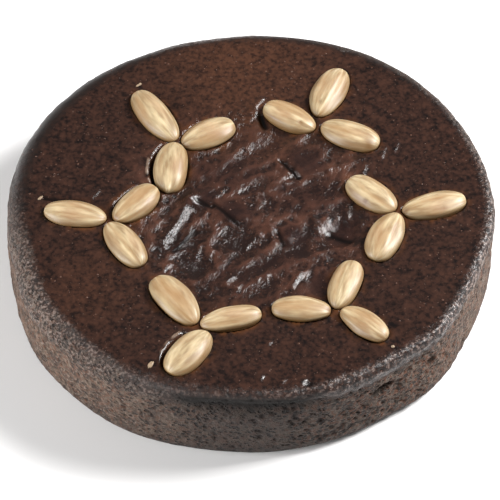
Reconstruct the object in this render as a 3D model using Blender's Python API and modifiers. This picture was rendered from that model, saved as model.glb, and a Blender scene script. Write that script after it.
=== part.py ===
"""Honey cake: a round dark cake with a glazed, wrinkled top and eighteen blanched almonds.

The cake is one solid. Each almond is its own solid and lies in a pocket that it has pressed
into the glazed top. The almonds stand in six trios, set in a ring like six small flowers.

Sizes are in metres, +Z is up, and the origin is the middle of the flat underside.
"""

import math

import bmesh
import bpy
from mathutils import Euler, Vector, noise

MM = 0.001

# The cake, as it comes out of an 18 cm round tin
CAKE_RADIUS = 90 * MM
CAKE_HEIGHT = 35 * MM
SHOULDER_TIGHT = 2.4 * MM
SHOULDER_WIDE = 8.8 * MM
TIGHT_HEADING = -20
FOOT_RADIUS = 5.0 * MM
SIDE_SPREAD = 0.3 * MM

# How finely the shape is divided. The top is a square net drawn out to a disc, whose four
# edges meet the turned side point by point
TOP_NET = 36
TURN_STEPS = 4 * TOP_NET
SHOULDER_STEPS = 3
SIDE_STEPS = 5
FOOT_STEPS = 3
WELD = 0.00005

# Out-of-round of the tin's shape: waves round the edge, depth, direction of a crest
LOBES = (
    (2, 0.5 * MM, 36),
    (3, 0.9 * MM, 24),
    (4, 0.6 * MM, -32),
)

# The middle of the top has sunk a little in the oven
SUNK_DEPTH = 1.5 * MM
SUNK_INNER = 24 * MM
SUNK_OUTER = 50 * MM

# Wrinkles of the sunken middle run from front left to back right
WRINKLE_HEADING = 38
WRINKLE_WIDTH = 9 * MM
WRINKLE_STRETCH = 2.2
WRINKLE_DEPTH = 0.8 * MM
WRINKLE_MEAN = 0.6
WRINKLE_INNER = 34 * MM
WRINKLE_OUTER = 50 * MM
WRINKLE_SEED = Vector((3.1, 7.4, 1.9))
SWELL_WIDTH = 42 * MM
SWELL_HEIGHT = 0.7 * MM
SWELL_SEED = Vector((11.0, 2.5, 5.0))

# Smooth hollows left by burst bubbles: x, y, length, width, depth in mm, heading. Their walls
# are the steeper, the higher the power
HOLLOWS = (
    (34, -13, 15, 12, 2.6, 35),
    (26, -37, 9, 12, 1.1, 0),
)
HOLLOW_WALL = 3.5

# Bubbles that have set as smooth flakes: one edge stands up and the rest slopes back into the
# glaze. The same numbers, with the height in place of the depth, then the heading of that edge.
# A flake's height goes from its foot to its crest, both as shares of its width
FLAKES = (
    (-5, -2, 16, 11, 1.3, -25, -125),
    (-17, 5, 12, 10, 1.1, 20, -110),
    (21.5, 22, 16, 13, 1.2, -50, -140),
    (17, -14, 11, 10, 0.7, 110, -160),
)
FLAKE_WALL = 6.0
FLAKE_FOOT = -0.6
FLAKE_CREST = 0.5

# A fold that stands up beside the left trio: two ends in mm, width and height
FOLD_START = (-31 * MM, -17 * MM)
FOLD_END = (-21 * MM, 4 * MM)
FOLD_WIDTH = 5.0 * MM
FOLD_HEIGHT = 1.2 * MM

# Places where the edge swells out or has drawn in: heading, half width in degrees, mm outwards
EDGE_SWELLS = (
    (-166, 5, -0.6),
    (-149, 9, 1.3),
    (-100, 16, -1.8),
    (-41, 9, 1.7),
    (-1, 10, 1.6),
    (12, 6, 0.7),
)

# The crust has drawn in under the rim at the front
GROOVE_HEADING = -91
GROOVE_SPAN = 17
GROOVE_LEVEL = 29.0 * MM
GROOVE_WIDTH = 3.4 * MM
GROOVE_DEPTH = 2.4 * MM
GROOVE_ENDS = 4

# Unevenness of the side, which begins part of the way down the shoulder
SIDE_BEGINS = 0.6
SIDE_BUMP_WIDTH = 16 * MM
SIDE_BUMP_DEPTH = 0.7 * MM
SIDE_SEED = Vector((4.0, 9.0, 6.0))

# Torn places in the side: heading, level, length, height and depth in mm, slope
SIDE_TEARS = (
    (-57, 22, 10, 3.4, 2.4, 14),
    (-43, 21, 5, 3.2, 2.0, 25),
)
TEAR_SEGMENTS = 10
TEAR_RINGS = 6

# The almonds, a trio at a time. Each one: middle x and y, the way its round end points,
# length and width, in mm and degrees
ALMOND_TRIOS = {
    "back_left": (
        (-34.7, 43.0, 122, 28.5, 12.5),
        (-14.9, 34.5, 28, 22.0, 13.0),
        (-28.4, 18.5, -95, 23.5, 13.5),
    ),
    "left": (
        (-63.5, -5.0, 169, 23.5, 11.5),
        (-41.5, 0.3, 49, 22.0, 13.0),
        (-45.0, -19.2, -57, 23.5, 12.0),
    ),
    "front_left": (
        (-26.0, -45.3, 126, 25.5, 13.0),
        (-6.0, -53.5, 14, 22.5, 11.0),
        (-21.0, -68.6, -128, 22.5, 13.0),
    ),
    "front_right": (
        (19.4, -49.2, 176, 21.5, 11.0),
        (35.3, -38.3, 71, 22.5, 11.5),
        (41.7, -56.0, -40, 20.5, 10.5),
    ),
    "right": (
        (46.2, 4.6, 138, 22.5, 13.0),
        (69.0, -0.7, 15, 24.5, 12.0),
        (50.8, -15.6, -112, 24.0, 12.5),
    ),
    "back_right": (
        (31.3, 54.8, 67, 25.5, 12.5),
        (16.1, 42.6, 148, 22.0, 12.5),
        (38.7, 33.5, -24, 23.5, 13.0),
    ),
}
ALMOND_THICKNESS = 0.62
ALMOND_LIFT = 0.5 * MM
ALMOND_BEARING = 0.35
TIP_SHARPNESS = 0.47
END_ROUNDNESS = 0.40
ALMOND_SEGMENTS = 14
ALMOND_RINGS = 9
POCKET_GAP = 0.4 * MM

# Almonds with room at their left flank, where the glaze has stayed away: how much, in mm
LOOSE_POCKETS = {
    "back_left_3": 1.2,
    "front_left_3": 1.3,
}

# Colour, and roughness
GLAZED_CRUST = ((0.070, 0.036, 0.024, 1.0), 0.4)
BLANCHED_ALMOND = ((0.72, 0.55, 0.34, 1.0), 0.5)


def fade(value, low, high):
    """Goes smoothly from 0 at low to 1 at high."""
    t = min(max((value - low) / (high - low), 0.0), 1.0)
    return t * t * (3.0 - 2.0 * t)


def shoulder_radius(angle):
    """The rim is tight at the right and round at the left."""
    wideness = (1.0 - math.cos(angle - math.radians(TIGHT_HEADING))) / 2.0
    return SHOULDER_TIGHT + (SHOULDER_WIDE - SHOULDER_TIGHT) * wideness


def degrees_from(angle, heading):
    """Degrees between an angle and a heading, from -180 to 180."""
    return (math.degrees(angle) - heading + 180.0) % 360.0 - 180.0


def bulge(angle):
    """How far the edge stands out of a true circle, all the way up the side."""
    out = 0.0
    for waves, depth, crest in LOBES:
        out += depth * math.cos(waves * (angle - math.radians(crest)))
    for heading, half_width, swell in EDGE_SWELLS:
        out += swell * MM * math.exp(-((degrees_from(angle, heading) / half_width) ** 2))
    return out


def wrinkles(x, y):
    """Sharp-crested folds, longer one way than the other, that die out at the almond ring."""
    turn = math.radians(WRINKLE_HEADING)
    along = x * math.cos(turn) + y * math.sin(turn)
    across = y * math.cos(turn) - x * math.sin(turn)
    place = Vector((along / WRINKLE_STRETCH, across, 0.0)) / WRINKLE_WIDTH + WRINKLE_SEED
    crest = 1.0 - 2.0 * abs(noise.noise(place))
    weight = 1.0 - fade(math.hypot(x, y), WRINKLE_INNER, WRINKLE_OUTER)
    return WRINKLE_DEPTH * (crest - WRINKLE_MEAN) * weight


def bubble_share(dx, dy, length, width, heading, wall):
    """Share of its height or depth that a bubble has at a place beside its middle, all in mm."""
    turn = math.radians(heading)
    along = (dx * math.cos(turn) + dy * math.sin(turn)) / (length / 2.0)
    across = (dy * math.cos(turn) - dx * math.sin(turn)) / (width / 2.0)
    return math.exp(-(math.hypot(along, across) ** wall))


def hollows(x, y):
    """Depth of the burst bubbles at a point of the top."""
    total = 0.0
    for middle_x, middle_y, length, width, depth, heading in HOLLOWS:
        dx = x / MM - middle_x
        dy = y / MM - middle_y
        total += depth * MM * bubble_share(dx, dy, length, width, heading, HOLLOW_WALL)
    return total


def flakes(x, y):
    """Height of the bubbles that have set as flakes."""
    total = 0.0
    for middle_x, middle_y, length, width, height, heading, edge_heading in FLAKES:
        dx = x / MM - middle_x
        dy = y / MM - middle_y
        turn = math.radians(edge_heading)
        rise = (dx * math.cos(turn) + dy * math.sin(turn)) / width
        share = bubble_share(dx, dy, length, width, heading, FLAKE_WALL)
        total += height * MM * share * fade(rise, FLAKE_FOOT, FLAKE_CREST)
    return total


def fold(x, y):
    """Height of the fold beside the left trio."""
    start = Vector(FOLD_START)
    run = Vector(FOLD_END) - start
    t = min(max((Vector((x, y)) - start).dot(run) / run.length_squared, 0.0), 1.0)
    away = (Vector((x, y)) - start - run * t).length
    return FOLD_HEIGHT * math.exp(-((away / (FOLD_WIDTH / 2.0)) ** 2))


def top_relief(x, y):
    """Height of the top above or below its plain level."""
    radius = math.hypot(x, y)
    sunk = SUNK_DEPTH * (1.0 - fade(radius, SUNK_INNER, SUNK_OUTER))
    swell = SWELL_HEIGHT * noise.noise(Vector((x, y, 0.0)) / SWELL_WIDTH + SWELL_SEED)
    return swell - sunk + wrinkles(x, y) - hollows(x, y) + flakes(x, y) + fold(x, y)


def side_relief(angle, level):
    """How far the side stands in from its plain surface."""
    aside = degrees_from(angle, GROOVE_HEADING) / GROOVE_SPAN
    groove = GROOVE_DEPTH * math.exp(-(aside**GROOVE_ENDS))
    groove *= math.exp(-(((level - GROOVE_LEVEL) / GROOVE_WIDTH) ** 2))
    spot = Vector((math.cos(angle) * CAKE_RADIUS, math.sin(angle) * CAKE_RADIUS, level))
    return groove + SIDE_BUMP_DEPTH * noise.noise(spot / SIDE_BUMP_WIDTH + SIDE_SEED)


def rim_drop(radius, angle):
    """How far the shoulder has curved down from the top's level at a radius."""
    shoulder = shoulder_radius(angle)
    past = radius - (CAKE_RADIUS - shoulder)
    if past <= 0.0:
        return 0.0
    past = min(past, shoulder)
    return shoulder - math.sqrt(shoulder * shoulder - past * past)


def top_height(x, y):
    """Level of the glazed top at a point."""
    angle = math.atan2(y, x)
    radius = math.hypot(x, y) - bulge(angle)
    return CAKE_HEIGHT + top_relief(x, y) - rim_drop(radius, angle)


def side_profile():
    """The cake's section from the edge of the level top, down the side, to the underside."""
    shoulder = SHOULDER_TIGHT
    points = []
    for i in range(SHOULDER_STEPS + 1):
        turn = math.pi / 2.0 * i / SHOULDER_STEPS
        out = CAKE_RADIUS - shoulder + shoulder * math.sin(turn)
        points.append((out, CAKE_HEIGHT - shoulder + shoulder * math.cos(turn)))
    for i in range(1, SIDE_STEPS):
        t = i / SIDE_STEPS
        level = (CAKE_HEIGHT - shoulder) * (1.0 - t) + FOOT_RADIUS * t
        points.append((CAKE_RADIUS + SIDE_SPREAD * t, level))
    flat = CAKE_RADIUS + SIDE_SPREAD - FOOT_RADIUS
    for i in range(FOOT_STEPS + 1):
        turn = math.pi / 2.0 * i / FOOT_STEPS
        out = flat + FOOT_RADIUS * math.cos(turn)
        points.append((out, FOOT_RADIUS - FOOT_RADIUS * math.sin(turn)))
    points.append((0.0, 0.0))
    return points


def widen_shoulder(radius, level, angle):
    """Moves a point of the plain section so that the shoulder has its radius at that angle."""
    old = SHOULDER_TIGHT
    new = shoulder_radius(angle)
    inward = CAKE_RADIUS - radius
    down = CAKE_HEIGHT - level
    if inward <= old and down <= old:
        return CAKE_RADIUS - inward * new / old, CAKE_HEIGHT - down * new / old
    if down < old:
        left = (CAKE_RADIUS - new) / (CAKE_RADIUS - old)
        return radius * left, level
    reach = CAKE_HEIGHT - FOOT_RADIUS
    if down < reach:
        left = (reach - new) / (reach - old)
        return radius, FOOT_RADIUS + (level - FOOT_RADIUS) * left
    return radius, level


def shape_point(point):
    """Carries a point of the plain turned cake to the real, uneven surface."""
    radius = math.hypot(point.x, point.y)
    angle = math.atan2(point.y, point.x)
    radius, level = widen_shoulder(radius, point.z, angle)
    shoulder = shoulder_radius(angle)
    edge = fade(radius, 0.0, CAKE_RADIUS)
    down = CAKE_HEIGHT - level
    sideways = fade(down, 0.0, SIDE_BEGINS * shoulder) * fade(level, 0.0, FOOT_RADIUS)
    out = radius + bulge(angle) * edge - side_relief(angle, level) * sideways
    x = out * math.cos(angle)
    y = out * math.sin(angle)
    upness = 1.0 - fade(down, 0.0, shoulder)
    return Vector((x, y, level + top_relief(x, y) * upness))


def link(obj, collection):
    collection.objects.link(obj)
    return obj


def make_material(name, colour, roughness):
    """A plain food surface of one colour."""
    material = bpy.data.materials.new(name)
    material.use_nodes = True
    shader = material.node_tree.nodes["Principled BSDF"]
    shader.inputs["Base Color"].default_value = colour
    shader.inputs["Roughness"].default_value = roughness
    shader.inputs["Metallic"].default_value = 0.0
    material.diffuse_color = colour
    return material


def turned_side(collection):
    """The side and the underside: their section turned once round the upright axis."""
    mesh = bpy.data.meshes.new("side_section")
    section = bmesh.new()
    corners = [section.verts.new((out, 0.0, level)) for out, level in side_profile()]
    for first, second in zip(corners, corners[1:]):
        section.edges.new((first, second))
    section.to_mesh(mesh)
    section.free()
    turned = link(bpy.data.objects.new("side_section", mesh), collection)
    screw = turned.modifiers.new("turn", "SCREW")
    screw.axis = "Z"
    screw.angle = math.tau
    screw.steps = TURN_STEPS
    screw.render_steps = TURN_STEPS
    screw.use_merge_vertices = True
    screw.merge_threshold = WELD
    bpy.context.view_layer.update()
    graph = bpy.context.evaluated_depsgraph_get()
    shaped = bpy.data.meshes.new_from_object(turned.evaluated_get(graph))
    bpy.data.objects.remove(turned)
    return shaped


def square_to_disc(x, y):
    """Carries a point of the square from -1 to 1 to the unit disc, edge to edge."""
    if x == 0.0 and y == 0.0:
        return 0.0, 0.0
    if abs(x) >= abs(y):
        turn = math.pi / 4.0 * y / x
        return x * math.cos(turn), x * math.sin(turn)
    turn = math.pi / 4.0 * x / y
    return y * math.sin(turn), y * math.cos(turn)


def plain_cake(collection):
    """The even cake: a level disc for its top, welded to the turned side."""
    body = bmesh.new()
    bmesh.ops.create_grid(body, x_segments=TOP_NET, y_segments=TOP_NET, size=1.0)
    reach = CAKE_RADIUS - SHOULDER_TIGHT
    for vertex in body.verts:
        x, y = square_to_disc(vertex.co.x, vertex.co.y)
        vertex.co = Vector((x * reach, y * reach, CAKE_HEIGHT))
    side = turned_side(collection)
    body.from_mesh(side)
    bpy.data.meshes.remove(side)
    bmesh.ops.remove_doubles(body, verts=body.verts, dist=WELD)
    return body


def make_cake(collection, cutters, material):
    """The cake's body, with its uneven top and side, cut by the almonds' pockets and the tears."""
    body = plain_cake(collection)
    for vertex in body.verts:
        vertex.co = shape_point(vertex.co)
    bmesh.ops.triangulate(body, faces=body.faces)
    mesh = bpy.data.meshes.new("cake")
    body.to_mesh(mesh)
    body.free()
    mesh.materials.append(material)
    cake = link(bpy.data.objects.new("cake", mesh), collection)
    cut = cake.modifiers.new("pockets and tears", "BOOLEAN")
    cut.operation = "DIFFERENCE"
    cut.operand_type = "COLLECTION"
    cut.collection = cutters
    cut.solver = "EXACT"
    mesh.shade_smooth()
    return cake


def almond_mesh(name, length, width, thickness):
    """An almond along X: pointed at -X, round at +X, widest beyond its middle."""
    shape = bmesh.new()
    bmesh.ops.create_uvsphere(
        shape, u_segments=ALMOND_SEGMENTS, v_segments=ALMOND_RINGS, radius=1.0
    )
    total = TIP_SHARPNESS + END_ROUNDNESS
    widest = TIP_SHARPNESS / total
    fullest = widest**TIP_SHARPNESS * (1.0 - widest) ** END_ROUNDNESS
    for vertex in shape.verts:
        forward, side, up = vertex.co.z, vertex.co.x, vertex.co.y
        run = min(max((1.0 + forward) / 2.0, 0.0), 1.0)
        girth = run**TIP_SHARPNESS * (1.0 - run) ** END_ROUNDNESS / fullest
        ring = math.hypot(side, up)
        spread = girth / ring if ring > 1e-6 else 0.0
        vertex.co = Vector(
            (forward * length / 2.0, side * spread * width / 2.0, up * spread * thickness / 2.0)
        )
    mesh = bpy.data.meshes.new(name)
    shape.to_mesh(mesh)
    shape.free()
    mesh.shade_smooth()
    return mesh


def almond_stance(x, y, heading, length):
    """Where an almond lies on the top, and how it tilts to follow the glaze it bears on."""
    turn = math.radians(heading)
    reach = length * ALMOND_BEARING
    forward = Vector((math.cos(turn), math.sin(turn))) * reach
    outer = top_height(x + forward.x, y + forward.y)
    inner = top_height(x - forward.x, y - forward.y)
    pitch = -math.atan2(outer - inner, 2.0 * reach)
    level = (outer + inner + top_height(x, y)) / 3.0 + ALMOND_LIFT
    return Vector((x, y, level)), Euler((0.0, pitch, turn))


def make_almond(name, row, collection, cutters, material):
    """One almond, and the pocket that it has pressed into the top."""
    x, y, heading, length, width = row
    length *= MM
    width *= MM
    thickness = width * ALMOND_THICKNESS
    place, stance = almond_stance(x * MM, y * MM, heading, length)
    mesh = almond_mesh(name, length, width, thickness)
    mesh.materials.append(material)
    almond = link(bpy.data.objects.new("almond_" + name, mesh), collection)
    almond.location = place
    almond.rotation_euler = stance

    slack = LOOSE_POCKETS.get(name, 0.0) * MM
    gap = 2.0 * POCKET_GAP
    pocket = almond_mesh("pocket_" + name, length + gap, width + gap + slack, thickness + gap)
    cutter = link(bpy.data.objects.new("pocket_" + name, pocket), cutters)
    leftward = Vector((-math.sin(stance.z), math.cos(stance.z), 0.0))
    if leftward.x > 0.0:
        leftward = -leftward
    cutter.location = place + leftward * slack / 2.0
    cutter.rotation_euler = stance
    hide_cutter(cutter)


def make_tear(index, row, cutters):
    """A lens-shaped cutter where the crust of the side has torn open."""
    heading, level, length, height, depth, slope = row
    turn = math.radians(heading)
    shape = bmesh.new()
    bmesh.ops.create_uvsphere(
        shape, u_segments=TEAR_SEGMENTS, v_segments=TEAR_RINGS, radius=1.0
    )
    for vertex in shape.verts:
        vertex.co.x *= depth * MM
        vertex.co.y *= length * MM / 2.0
        vertex.co.z *= height * MM / 2.0
    mesh = bpy.data.meshes.new("tear")
    shape.to_mesh(mesh)
    shape.free()
    cutter = link(bpy.data.objects.new(f"tear_{index}", mesh), cutters)
    radius = CAKE_RADIUS + bulge(turn)
    cutter.location = (radius * math.cos(turn), radius * math.sin(turn), level * MM)
    cutter.rotation_euler = (math.radians(slope), 0.0, turn)
    hide_cutter(cutter)


def hide_cutter(cutter):
    cutter.hide_render = True
    cutter.display_type = "WIRE"


def main():
    for obj in list(bpy.data.objects):
        bpy.data.objects.remove(obj)
    scene = bpy.context.scene
    parts = bpy.data.collections.new("honey_cake")
    cutters = bpy.data.collections.new("honey_cake_cutters")
    scene.collection.children.link(parts)
    scene.collection.children.link(cutters)
    crust = make_material("glazed_crust", *GLAZED_CRUST)
    nut = make_material("blanched_almond", *BLANCHED_ALMOND)
    for trio, rows in ALMOND_TRIOS.items():
        for number, row in enumerate(rows, start=1):
            make_almond(f"{trio}_{number}", row, parts, cutters, nut)
    for index, row in enumerate(SIDE_TEARS, start=1):
        make_tear(index, row, cutters)
    make_cake(parts, cutters, crust)


main()
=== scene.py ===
import math
from functools import partial

import bmesh
import bpy
import numpy as np
from mathutils import Matrix, Vector, noise


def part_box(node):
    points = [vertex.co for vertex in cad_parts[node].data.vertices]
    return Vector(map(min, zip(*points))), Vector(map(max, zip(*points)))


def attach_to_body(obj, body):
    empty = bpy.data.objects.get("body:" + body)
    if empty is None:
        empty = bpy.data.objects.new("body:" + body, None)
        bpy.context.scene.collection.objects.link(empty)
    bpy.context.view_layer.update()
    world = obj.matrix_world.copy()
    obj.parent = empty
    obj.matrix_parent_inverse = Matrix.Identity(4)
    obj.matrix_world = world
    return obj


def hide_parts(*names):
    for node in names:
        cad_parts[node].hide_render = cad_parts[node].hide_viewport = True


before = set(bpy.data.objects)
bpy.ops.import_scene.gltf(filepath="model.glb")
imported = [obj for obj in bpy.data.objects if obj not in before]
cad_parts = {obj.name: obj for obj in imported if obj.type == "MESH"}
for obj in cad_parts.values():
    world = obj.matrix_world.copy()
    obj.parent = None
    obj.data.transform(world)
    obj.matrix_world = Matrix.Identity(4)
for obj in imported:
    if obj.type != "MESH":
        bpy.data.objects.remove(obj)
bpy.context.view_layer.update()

# A dark, honey-glazed cake with eighteen blanched almonds. The cake is one finely divided piece
# with the source's shape and the small relief of glaze and crust. Sizes are in metres.

MM = 0.001

# The cake's plain shape, as in the part's source
RADIUS = 90 * MM
HEIGHT = 35 * MM
SHOULDER_TIGHT = 2.4 * MM
SHOULDER_WIDE = 8.8 * MM
TIGHT_HEADING = -20
FOOT_RADIUS = 5.0 * MM
SIDE_SPREAD = 0.3 * MM

# How finely the piece is divided: rings of the top, and rows down the side
TOP_RINGS = 126
SECTORS = 6
SHOULDER_ROWS = 12
SIDE_ROWS = 37
FOOT_ROWS = 8

# Out-of-round of the tin's shape: waves round the edge, depth, direction of a crest
LOBES = ((2, 0.5 * MM, 36), (3, 0.9 * MM, 24), (4, 0.6 * MM, -32))

# The middle of the top has sunk a little in the oven. A FADE pair, here and below, says where
# something begins to fade and where it is gone
SUNK_DEPTH = 1.5 * MM
SUNK_FADE = (24 * MM, 50 * MM)

# Wrinkles of the sunken middle run from front left to back right
WRINKLE_HEADING = 38
WRINKLE_WIDTH = 9 * MM
WRINKLE_STRETCH = 2.2
WRINKLE_DEPTH = 0.8 * MM
WRINKLE_MEAN = 0.6
WRINKLE_FADE = (34 * MM, 50 * MM)
WRINKLE_SEED = Vector((3.1, 7.4, 1.9))
SWELL_WIDTH = 42 * MM
SWELL_HEIGHT = 0.7 * MM
SWELL_SEED = Vector((11.0, 2.5, 5.0))

# Smooth hollows left by burst bubbles: x, y, length, width, depth in mm, heading. A higher
# power makes their walls steeper
HOLLOWS = ((34, -13, 15, 12, 2.6, 35), (26, -37, 9, 12, 1.1, 0))
HOLLOW_WALL = 3.5

# Bubbles that have set as smooth flakes with one raised edge: the same numbers, with the height
# for the depth, then that edge's heading. A flake rises from foot to crest, shares of its width
FLAKES = (
    (-5, -2, 16, 11, 1.3, -25, -125),
    (-17, 5, 12, 10, 1.1, 20, -110),
    (21.5, 22, 16, 13, 1.2, -50, -140),
    (17, -14, 11, 10, 0.7, 110, -160),
)
FLAKE_WALL = 6.0
FLAKE_RISE = (-0.6, 0.5)

# Smoother places of the middle: the same numbers, with how smooth they are for the depth
QUIET_PLACES = (
    (-7, 17, 32, 18, 0.6, 0),
    (21, 5, 26, 16, 0.6, 0),
    (4, 33, 26, 15, 0.55, 0),
    (3, -30, 42, 14, 0.45, 20),
)

# Places where the edge swells out or has drawn in: heading, half width in degrees, mm outwards
EDGE_SWELLS = (
    (-166, 5, -0.6),
    (-149, 9, 1.3),
    (-100, 16, -1.8),
    (-41, 9, 1.7),
    (-1, 10, 1.6),
    (12, 6, 0.7),
)

# The crust has drawn in under the rim at the front. A band of painted shade lies along it, a little
# further up
GROOVE_HEADING = -91
GROOVE_SPAN = 17
GROOVE_LEVEL = 29.0 * MM
GROOVE_WIDTH = 3.4 * MM
GROOVE_DEPTH = 2.4 * MM
GROOVE_SHADE_UP = 2.0 * MM

# Fades a wide place round the edge only near its ends
BLUNT_POWER = 4

# Unevenness of the side, which begins part of the way down the shoulder
SIDE_BEGINS = 0.6
SIDE_BUMP_WIDTH = 16 * MM
SIDE_BUMP_DEPTH = 0.7 * MM
SIDE_SEED = Vector((4.0, 9.0, 6.0))

# Torn places in the side: heading, level, length, height and depth in mm, slope
SIDE_TEARS = ((-57, 22, 10, 3.4, 2.4, 14), (-43, 21, 5, 3.2, 2.0, 25))

# Creases that stand up from the glaze: both ends, width and height, all in mm. The first is a
# broad fold, which the source has too
CREASES = (
    (-31, -17, -21, 4, 5.0, 1.2),
    (-21.5, 3, -24.5, -4, 2.2, 0.6),
    (-25, -6, -30, -15, 2.2, 0.6),
    (8, -8.5, 9.5, -17, 2.2, 0.9),
    (-1, -19, 4, -13, 2.2, 0.7),
    (11, 21, 15.5, 16, 2.2, 0.8),
    (15, 15.5, 9.5, 11.5, 2.2, 0.7),
    (24, -4, 25.5, -10, 2.4, 0.8),
    (26, -10, 28, -17, 2.2, 0.5),
    (37, -2, 36.5, -9, 2.0, 0.7),
    (42, -8, 40, -13, 2.0, 0.7),
    (-12, 5, -8, 9, 2.0, 0.6),
    (3, 6.5, 14, 11, 1.8, 0.4),
    (14, 11, 30, 17, 1.8, 0.4),
    (30, 17, 43, 22.5, 2.0, 0.4),
    (-8, -36, -5, -33, 2.2, 0.7),
    (-4, -39, -2, -36, 2.0, 0.6),
    (16, -38.5, 19.5, -32, 2.2, 0.8),
    (-31, -31, -28, -27.5, 2.0, 0.6),
    (-14.5, -25, -13, -20, 1.8, 0.6),
    (-19, -24, -17.5, -18, 1.8, 0.6),
    (0, -34, 1.2, -30.5, 1.8, 0.5),
    (3.4, -35, 4.2, -31.5, 1.8, 0.5),
    (6.8, -33, 7.8, -29.5, 1.8, 0.5),
    (43, 15, 44, 19.5, 1.6, 0.5),
    (50, 23, 51.5, 28, 1.6, 0.5),
    (55, 26, 56.5, 30.5, 1.4, 0.5),
    (-58, 3.5, -55.5, 7, 2.0, 0.7),
    (-51, 0.5, -49.5, 3.5, 1.8, 0.5),
    (4.3, -80, 5.3, -78.6, 1.4, 0.6),
    (2.6, 48.3, 5.6, 52.3, 2.2, 0.8),
    (12, -81.3, 13, -80, 1.4, 0.5),
    (19, -81.3, 20.2, -80, 1.4, 0.5),
    (7, -64.6, 8.2, -63, 1.2, 0.5),
)

# Crevices of the glaze, with painted shade in them: both ends, width and depth, all in mm
CREVICES = (
    (12.5, 22.5, 19, 14, 1.8, 0.8),
    (11.3, -12, 13, -18, 1.8, 0.8),
    (-12.5, 1, -4, -7.5, 2.0, 0.7),
    (-19, 3, -13, 0, 1.8, 0.6),
    (-75.5, 3.4, -61, 1.2, 1.9, 0.9),
    (6.5, 39.5, 5.5, 44.5, 3.4, 1.7),
    (30, -12, 38, -16, 3.0, 0.5),
    (-27, -21, -19.5, -11, 3.4, 0.5),
    (21, -82.2, 22.6, -81.6, 1.8, 0.8),
)

# Finer wrinkles over the sunken middle: width, depth, and how long they are for their width
RIPPLES = ((4.2 * MM, 0.25 * MM, 1.8), (2.2 * MM, 0.17 * MM, 1.5))
RIPPLE_FADE = (38 * MM, 56 * MM)
RIPPLE_REST = 0.10
RIPPLE_SEED = Vector((6.3, 1.2, 8.8))
RIPPLE_TURN = 15
HOLLOW_CALM = 0.8

# What the main folds and the two rows of ripples count for in a crest's share, which paints highlight on
# crests and shade in troughs
CREST_SHARES = (0.45, 0.33, 0.22)

# The finest wrinkles, too fine for the mesh, and the way they run
CREASE_WIDTH = 1.3 * MM
CREASE_STRETCH = 2.2
CREASE_DEPTH = 0.55 * MM
CREASE_TURN = math.radians(62)

# The plain glaze round the almonds: low uneven places
GLAZE_WIDTH = 6.5 * MM
GLAZE_HEIGHT = 0.13 * MM
GLAZE_SEED = Vector((2.2, 5.1, 3.7))

# Where the glaze fades, as shares of the shoulder's width, and where it has run further down:
# heading, half width in degrees, shares more
GLAZE_FADE = (-0.5, 1.15)
GLAZE_RUNS = ((-95, 24, 0.7), (-52, 22, 1.6), (130, 48, 1.2), (-10, 20, 0.5))

# Patches of painted sheen on the glaze, where it catches a broad reflection: x, y and radius in mm, and
# the share
SHEEN_PATCHES = ((-2, 68, 34, 0.36), (6, 40, 15, 0.5), (-58, -38, 18, 0.15))

# The rim's broken crust is full at a share of the shoulder's width in from the edge. It reaches
# in from there, and below the shoulder. It is calmer at these headings: half width, share
RIM_FULL = 0.7
RIM_REACH = 4 * MM
RIM_BELOW = 3.5 * MM
RIM_WIDTH = 1.7 * MM
RIM_DEPTH = 0.52 * MM
RIM_SEED = Vector((5.6, 4.1, 0.7))
RIM_CALMS = ((-102, 38, 0.45), (142, 45, 0.95), (68, 46, 0.85))

# The side's coarse crumb, and the open pores that baking left. A pore's size comes from how
# coarse the crumb is, from what every pore has, and from noise
CRUMB_WIDTH = 3.0 * MM
CRUMB_DEPTH = 0.30 * MM
CRUMB_SEED = Vector((8.4, 0.6, 2.9))
PORE_SPACING = 3.2 * MM
PORE_FLATNESS = 1.5
PORE_SIZES = (0.35, 0.2, 0.9)
PORE_EDGE = 0.26
PORE_DEPTH = 0.8 * MM
PORE_SEED = Vector((1.7, 3.3, 9.2))
PIT_SPACING = 1.9 * MM
PIT_FLATNESS = 1.5

# Painted shade darkens the side most at the front, and its crumb is coarsest and reddest at
# the front right: heading and half width in degrees
FRONT_SHADE = (-90, 27)
COARSE = (-58, 24)

# An almond's outline: its tip, its round end, its widest place and the girth there
TIP_SHARPNESS = 0.47
END_ROUNDNESS = 0.40
WIDEST = TIP_SHARPNESS / (TIP_SHARPNESS + END_ROUNDNESS)
FULLEST = WIDEST**TIP_SHARPNESS * (1.0 - WIDEST) ** END_ROUNDNESS

# How the almonds sit in the glaze, and the lip of glaze beside the ones that have room
CONTACT_GAP = 0.22 * MM
CONTACT_REACH = 4.0 * MM
MENISCUS_WIDTH = 1.1 * MM
MENISCUS_HEIGHT = 0.30 * MM
STAIN_WIDTH = 1.8 * MM
LIP_OUT = 2.6 * MM
LIP_WIDTH = 1.5 * MM
LIP_HEIGHT = 0.9 * MM
LIP_REACH = (0.45, 1.15)
LIP_UNEVENNESS = 3 * MM
LIP_LEAST = 0.35
LOOSE_POCKETS = {"almond_back_left_3": 1.2 * MM, "almond_front_left_3": 1.3 * MM}

# Almonds: how finely each is divided, how deep its skin's grooves and lumps are, how far it bends
ALMOND_SEGMENTS = 64
ALMOND_RINGS = 44
ALMOND_GROOVES = 1.8
GROOVE_SHARE = 0.20
DEEP_GROOVES = {
    "almond_front_left_1": 0.38, "almond_front_left_2": 0.34,
    "almond_back_right_1": 0.40, "almond_right_3": 0.38,
}
ALMOND_LUMPS = 0.18
ALMOND_BEND = 1.2 * MM

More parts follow.
